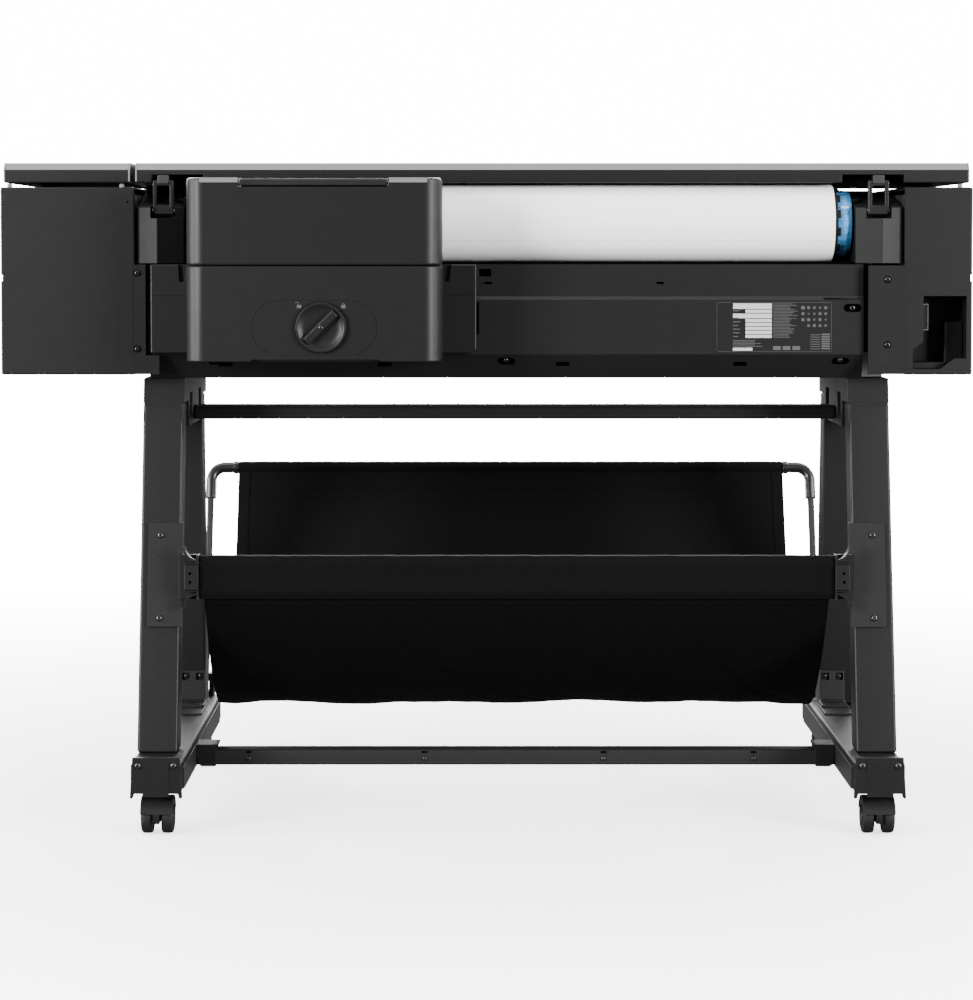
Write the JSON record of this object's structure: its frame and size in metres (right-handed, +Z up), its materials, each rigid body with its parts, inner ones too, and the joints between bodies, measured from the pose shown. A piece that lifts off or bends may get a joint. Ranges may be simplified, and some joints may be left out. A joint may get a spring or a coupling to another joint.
{
  "type": "large format plotter",
  "caption": "Wide roll-fed inkjet plotter on a wheeled stand, seen with its rear sheet feeder, blue roll hubs and a hanging fabric catch basket.",
  "frame": {"origin": "on the floor, under the middle of the object's bounding box", "axes": "+Z up, +X along the roll, +Y towards the paper outlet (the machine's front); the rear with the sheet feeder faces -Y"},
  "size_m": [1.4, 0.72, 0.946],
  "materials": {
    "charcoal_plastic": "satin",
    "black_plastic": "fine texture",
    "grey_plastic": "satin",
    "blue_plastic": "satin",
    "black_gloss": "gloss",
    "coated_steel": "satin powder coat",
    "zinc_steel": "zinc plated",
    "grey_rod": "satin",
    "wheel_rubber": "moulded",
    "bag_fabric": "woven",
    "roll_paper": "coated"
  },
  "bodies": {
    "printer": {"basket_fabric": "bag_fabric", "basket_rear_bar": "bag_fabric", "carriage_rail": "zinc_steel", "chassis_pan": "zinc_steel", "control_panel": "black_gloss", "feeder_base": "charcoal_plastic", "feeder_mount_plate": "charcoal_plastic", "front_cover": "black_gloss", "ink_tanks": "black_plastic", "inlet_pocket": "black_plastic", "left_basket_bracket": "coated_steel", "left_cabinet": "charcoal_plastic", "left_foot_beam": "coated_steel", "left_foot_rear_cap": "charcoal_plastic", "left_front_column": "coated_steel", "left_leg_head": "coated_steel", "left_rear_column": "coated_steel", "left_side_frame": "zinc_steel", "left_spindle_support": "charcoal_plastic", "lower_crossbar": "coated_steel", "output_guide": "charcoal_plastic", "paper_guide": "black_plastic", "platen": "black_plastic", "power_inlet": "black_plastic", "rear_beam_panel": "charcoal_plastic", "right_basket_bracket": "coated_steel", "right_cabinet": "charcoal_plastic", "right_foot_beam": "coated_steel", "right_foot_rear_cap": "charcoal_plastic", "right_front_column": "coated_steel", "right_leg_head": "coated_steel", "right_rear_column": "coated_steel", "right_side_frame": "zinc_steel", "right_spindle_support": "charcoal_plastic", "upper_crossbar": "coated_steel"},
    "top_lid_body": {"top_lid": "charcoal_plastic"},
    "ink_lid_body": {"ink_lid": "charcoal_plastic"},
    "spindle": {"spindle_shaft": "zinc_steel", "paper_roll": "roll_paper", "left_hub": "blue_plastic", "right_hub": "blue_plastic"},
    "left_lever_body": {"left_lever": "charcoal_plastic"},
    "right_lever_body": {"right_lever": "charcoal_plastic"},
    "feeder_cover_body": {"feeder_cover": "charcoal_plastic"},
    "feeder_extension_body": {"feeder_extension": "black_plastic"},
    "lock_knob_body": {"lock_knob": "charcoal_plastic"},
    "carriage": {"print_carriage": "black_plastic"},
    "feed_roller_body": {"feed_roller": "wheel_rubber"},
    "basket_frame": {"basket_front_tube": "bag_fabric", "left_basket_arm": "grey_rod", "right_basket_arm": "grey_rod"},
    "power_button_body": {"power_button": "grey_plastic"},
    "rear_left_caster_swivel": {"rear_left_caster_fork": "black_plastic"},
    "rear_left_caster_axle": {"rear_left_caster_wheels": "wheel_rubber"},
    "rear_right_caster_swivel": {"rear_right_caster_fork": "black_plastic"},
    "rear_right_caster_axle": {"rear_right_caster_wheels": "wheel_rubber"},
    "front_left_caster_swivel": {"front_left_caster_fork": "black_plastic"},
    "front_left_caster_axle": {"front_left_caster_wheels": "wheel_rubber"},
    "front_right_caster_swivel": {"front_right_caster_fork": "black_plastic"},
    "front_right_caster_axle": {"front_right_caster_wheels": "wheel_rubber"}
  },
  "joints": [
    {"name": "top_lid_hinge", "type": "hinge", "parent": "printer", "child": "top_lid_body", "pos_m": [0.0955, -0.178, 0.919], "axis": [1, 0, 0], "range_deg": [0, 50]},
    {"name": "ink_lid_hinge", "type": "hinge", "parent": "printer", "child": "ink_lid_body", "pos_m": [-0.60875, -0.178, 0.919], "axis": [1, 0, 0], "range_deg": [0, 70]},
    {"name": "spindle_spin", "type": "hinge", "parent": "printer", "child": "spindle", "pos_m": [0.0475, -0.14, 0.859], "axis": [1, 0, 0], "continuous": true},
    {"name": "left_lever_pivot", "type": "hinge", "parent": "printer", "child": "left_lever_body", "pos_m": [-0.4665, -0.197, 0.8765], "axis": [1, 0, 0], "range_deg": [0, 35]},
    {"name": "right_lever_pivot", "type": "hinge", "parent": "printer", "child": "right_lever_body", "pos_m": [0.5655, -0.197, 0.8765], "axis": [1, 0, 0], "range_deg": [0, 35]},
    {"name": "feeder_cover_hinge", "type": "hinge", "parent": "printer", "child": "feeder_cover_body", "pos_m": [-0.243, -0.33, 0.7978], "axis": [1, 0, 0], "range_deg": [0, 70]},
    {"name": "feeder_extension_slide", "type": "slide", "parent": "feeder_cover_body", "child": "feeder_extension_body", "axis": [0, 0, 1], "range_m": [0, 0.085]},
    {"name": "lock_knob_turn", "type": "hinge", "parent": "printer", "child": "lock_knob_body", "pos_m": [-0.2324, -0.33, 0.7115], "axis": [0, 1, 0], "range_deg": [-90, 0]},
    {"name": "carriage_slide", "type": "slide", "parent": "printer", "child": "carriage", "axis": [1, 0, 0], "range_m": [0, 0.92]},
    {"name": "feed_roller_spin", "type": "hinge", "parent": "printer", "child": "feed_roller_body", "pos_m": [0.04735, -0.034, 0.812], "axis": [1, 0, 0], "continuous": true},
    {"name": "basket_frame_fold", "type": "hinge", "parent": "printer", "child": "basket_frame", "pos_m": [0.043, 0.232, 0.128], "axis": [1, 0, 0], "range_deg": [0, 20]},
    {"name": "power_button_push", "type": "slide", "parent": "printer", "child": "power_button_body", "axis": [0, -0.9244, -0.3815], "range_m": [0, 0.0012], "stiffness_N_per_m": 400},
    {"name": "rear_left_caster_swivel_turn", "type": "hinge", "parent": "printer", "child": "rear_left_caster_swivel", "pos_m": [-0.463, -0.318, 0.05], "axis": [0, 0, 1], "continuous": true},
    {"name": "rear_left_caster_wheel_spin", "type": "hinge", "parent": "rear_left_caster_swivel", "child": "rear_left_caster_axle", "pos_m": [-0.463, -0.33, 0.025], "axis": [1, 0, 0], "continuous": true},
    {"name": "rear_right_caster_swivel_turn", "type": "hinge", "parent": "printer", "child": "rear_right_caster_swivel", "pos_m": [0.549, -0.318, 0.05], "axis": [0, 0, 1], "continuous": true},
    {"name": "rear_right_caster_wheel_spin", "type": "hinge", "parent": "rear_right_caster_swivel", "child": "rear_right_caster_axle", "pos_m": [0.549, -0.33, 0.025], "axis": [1, 0, 0], "continuous": true},
    {"name": "front_left_caster_swivel_turn", "type": "hinge", "parent": "printer", "child": "front_left_caster_swivel", "pos_m": [-0.463, 0.195, 0.05], "axis": [0, 0, 1], "continuous": true},
    {"name": "front_left_caster_wheel_spin", "type": "hinge", "parent": "front_left_caster_swivel", "child": "front_left_caster_axle", "pos_m": [-0.463, 0.207, 0.025], "axis": [1, 0, 0], "continuous": true},
    {"name": "front_right_caster_swivel_turn", "type": "hinge", "parent": "printer", "child": "front_right_caster_swivel", "pos_m": [0.549, 0.195, 0.05], "axis": [0, 0, 1], "continuous": true},
    {"name": "front_right_caster_wheel_spin", "type": "hinge", "parent": "front_right_caster_swivel", "child": "front_right_caster_axle", "pos_m": [0.549, 0.207, 0.025], "axis": [1, 0, 0], "continuous": true}
  ]
}
